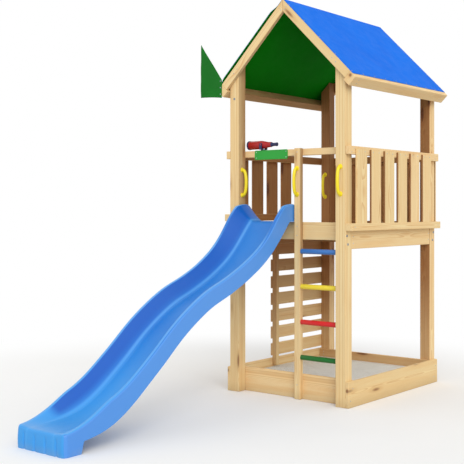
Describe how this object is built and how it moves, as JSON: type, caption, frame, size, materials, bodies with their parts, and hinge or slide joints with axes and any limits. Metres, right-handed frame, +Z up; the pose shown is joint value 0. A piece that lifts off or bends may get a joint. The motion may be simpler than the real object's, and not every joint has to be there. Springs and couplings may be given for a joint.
{
  "type": "play tower with slide",
  "caption": "Wooden play tower with a gable cloth roof, a wavy plastic slide, a rung ladder, climbing boards, a sandbox, hand grips and a toy telescope.",
  "frame": {"origin": "on the ground, under the middle of the whole object's box", "axes": "+Z up, the slide runs towards -Y, +X is to the right of someone who stands before the slide and looks at the tower"},
  "size_m": [1.576, 3.9566, 3.2997],
  "materials": {
    "timber": "planed softwood, matt",
    "slide_plastic": "moulded, satin",
    "roof_cloth": "coated sheet, blue outside and dark green inside",
    "pennant_cloth": "plain weave",
    "grip_plastic": "moulded, satin",
    "rung_green": "smooth",
    "rung_red": "smooth",
    "rung_yellow": "smooth",
    "rung_blue": "smooth",
    "telescope_red": "moulded, glossy",
    "telescope_navy": "moulded, satin",
    "plate_green": "moulded, bare",
    "sand": "loose play sand"
  },
  "bodies": {
    "tower": {"climbing_board_1": "timber", "climbing_board_2": "timber", "climbing_board_3": "timber", "climbing_board_4": "timber", "climbing_board_5": "timber", "climbing_board_6": "timber", "climbing_board_7": "timber", "climbing_board_8": "timber", "climbing_stud": "timber", "eave_beam_left": "timber", "eave_beam_right": "timber", "front_plate": "plate_green", "front_rail": "timber", "hand_grip_climbing": "grip_plastic", "hand_grip_ladder": "grip_plastic", "hand_grip_middle": "grip_plastic", "hand_grip_slide": "grip_plastic", "pennant": "pennant_cloth", "platform_beam_back": "timber", "platform_beam_front": "timber", "platform_beam_left": "timber", "platform_beam_right": "timber", "platform_deck": "timber", "post_back_left": "timber", "post_back_right": "timber", "post_front_left": "timber", "post_front_right": "timber", "post_middle": "timber", "rafter_back_left": "timber", "rafter_back_right": "timber", "rafter_front_left": "timber", "rafter_front_right": "timber", "railing_back": "timber", "railing_left": "timber", "railing_right": "timber", "ridge_beam": "timber", "roof_sheet": "roof_cloth", "rung_blue": "rung_blue", "rung_green": "rung_green", "rung_red": "rung_red", "rung_yellow": "rung_yellow", "sand_bed": "sand", "sandbox_board_back": "timber", "sandbox_board_front": "timber", "sandbox_board_left": "timber", "sandbox_board_right": "timber", "slide": "slide_plastic", "telescope_base": "telescope_navy", "top_rail_back": "timber", "top_rail_left": "timber", "top_rail_right": "timber"},
    "telescope_swivel": {"telescope_yoke": "telescope_navy"},
    "telescope_tube": {"telescope_barrel": "telescope_red", "telescope_ring": "telescope_navy", "telescope_eyepiece": "telescope_navy"}
  },
  "joints": [
    {"name": "telescope_pan", "type": "hinge", "parent": "tower", "child": "telescope_swivel", "pos_m": [-0.22384, 0.52884, 2.0746], "axis": [0, 0, 1], "continuous": true},
    {"name": "telescope_tilt", "type": "hinge", "parent": "telescope_swivel", "child": "telescope_tube", "pos_m": [-0.22384, 0.52884, 2.116], "axis": [0, 1, 0], "range_deg": [-2, 10]}
  ]
}
